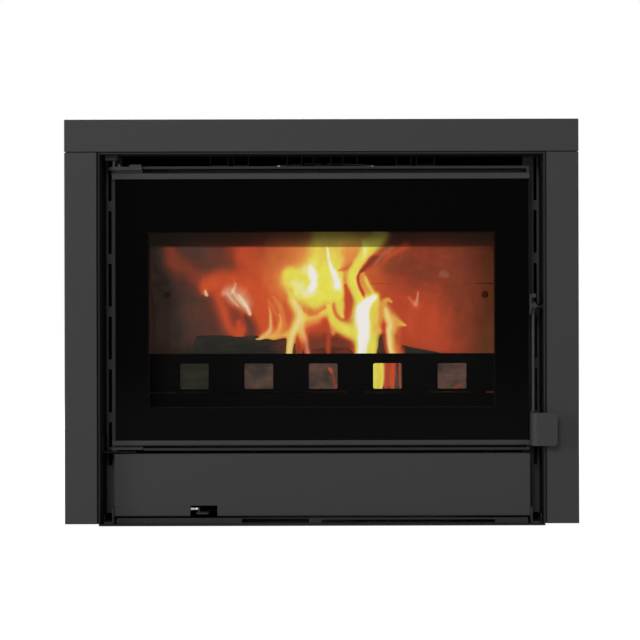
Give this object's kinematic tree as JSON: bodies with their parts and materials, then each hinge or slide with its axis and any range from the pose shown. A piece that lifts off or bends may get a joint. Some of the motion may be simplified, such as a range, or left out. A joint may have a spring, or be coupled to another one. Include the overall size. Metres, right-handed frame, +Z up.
{
  "type": "fireplace insert",
  "caption": "Built-in wood-burning fireplace insert with a wide glazed door on side hinges, a drop-down lower flap, an air slider and a flat trim round the opening.",
  "frame": {"origin": "on the hearth, under the middle of the trim's width and of the overall depth from the grip's face to the casing's back", "axes": "+X to the right seen from the room, +Y back into the wall, +Z up along the flue"},
  "size_m": [0.8, 0.42, 0.64],
  "materials": {
    "anthracite_paint": "matt anthracite heat-proof paint",
    "casing_paint": "matt black heat-proof paint",
    "firebox_steel": "sooted black steel",
    "cast_iron": "dark as-cast iron",
    "vermiculite": "pressed vermiculite, browned by the fire",
    "ceramic_glass": "clear ceramic glass with a black printed border",
    "rope_seal": "braided glass-fibre rope and tape",
    "bright_steel": "zinc-plated and turned steel",
    "black_bolts": "blackened steel"
  },
  "bodies": {
    "insert": {"surround_top_bar": "anthracite_paint", "surround_left_leg": "anthracite_paint", "surround_right_leg": "anthracite_paint", "side_strip_left": "anthracite_paint", "side_strip_right": "anthracite_paint", "hinge_bracket_top": "anthracite_paint", "hinge_bracket_bottom": "anthracite_paint", "base_tray": "anthracite_paint", "flap_brackets": "anthracite_paint", "casing_wrap": "casing_paint", "casing_top": "casing_paint", "surround_brackets": "casing_paint", "support_rails": "casing_paint", "air_box": "casing_paint", "air_inlet_collar": "casing_paint", "slider_guides": "casing_paint", "convection_fins": "casing_paint", "firebox_front": "firebox_steel", "firebox_wrap": "firebox_steel", "firebox_floor": "firebox_steel", "firebox_top": "firebox_steel", "smoke_plate": "firebox_steel", "smoke_lugs": "firebox_steel", "air_wash_channel": "firebox_steel", "hearth_rails": "firebox_steel", "ash_pan": "firebox_steel", "flue_collar": "cast_iron", "hearth_plate": "cast_iron", "grate": "cast_iron", "hearth_lip": "cast_iron", "log_retainer": "cast_iron", "side_lining_left": "vermiculite", "side_lining_right": "vermiculite", "back_lining_lower": "vermiculite", "back_lining_upper": "vermiculite", "baffle_plate": "vermiculite", "casing_screws": "bright_steel", "hinge_pins": "bright_steel", "striker_stud": "bright_steel", "flap_pins": "bright_steel", "flue_collar_bolts": "black_bolts", "lining_bolts": "black_bolts"},
    "door": {"door_frame": "anthracite_paint", "door_glass": "ceramic_glass", "glass_gasket": "rope_seal", "door_seal_rope": "rope_seal", "door_profile_top": "anthracite_paint", "door_profile_bottom": "anthracite_paint", "door_profile_screws": "bright_steel", "hinge_arm_top": "anthracite_paint", "hinge_arm_bottom": "anthracite_paint", "hinge_screws": "bright_steel", "latch_bracket": "anthracite_paint", "latch_pivot_pin": "bright_steel"},
    "latch": {"latch_lever": "anthracite_paint", "latch_grip": "anthracite_paint"},
    "roller": {"striker_roller": "bright_steel"},
    "flap": {"ash_flap": "anthracite_paint"},
    "slider": {"air_slider": "anthracite_paint", "air_slider_tip": "bright_steel"}
  },
  "joints": [
    {"name": "door_hinge", "type": "hinge", "parent": "insert", "child": "door", "pos_m": [-0.327, -0.156, 0.34], "axis": [0, 0, -1], "range_deg": [0, 90]},
    {"name": "latch_pivot", "type": "hinge", "parent": "door", "child": "latch", "pos_m": [0.331, -0.166, 0.342], "axis": [-1, 0, 0], "range_deg": [0, 40]},
    {"name": "roller_spin", "type": "hinge", "parent": "insert", "child": "roller", "pos_m": [0.34, -0.166, 0.341], "axis": [1, 0, 0], "continuous": true},
    {"name": "flap_hinge", "type": "hinge", "parent": "insert", "child": "flap", "pos_m": [0, -0.166, 0.021], "axis": [1, 0, 0], "range_deg": [0, 90]},
    {"name": "air_slide", "type": "slide", "parent": "insert", "child": "slider", "axis": [1, 0, 0], "range_m": [-0.009, 0.012]}
  ]
}
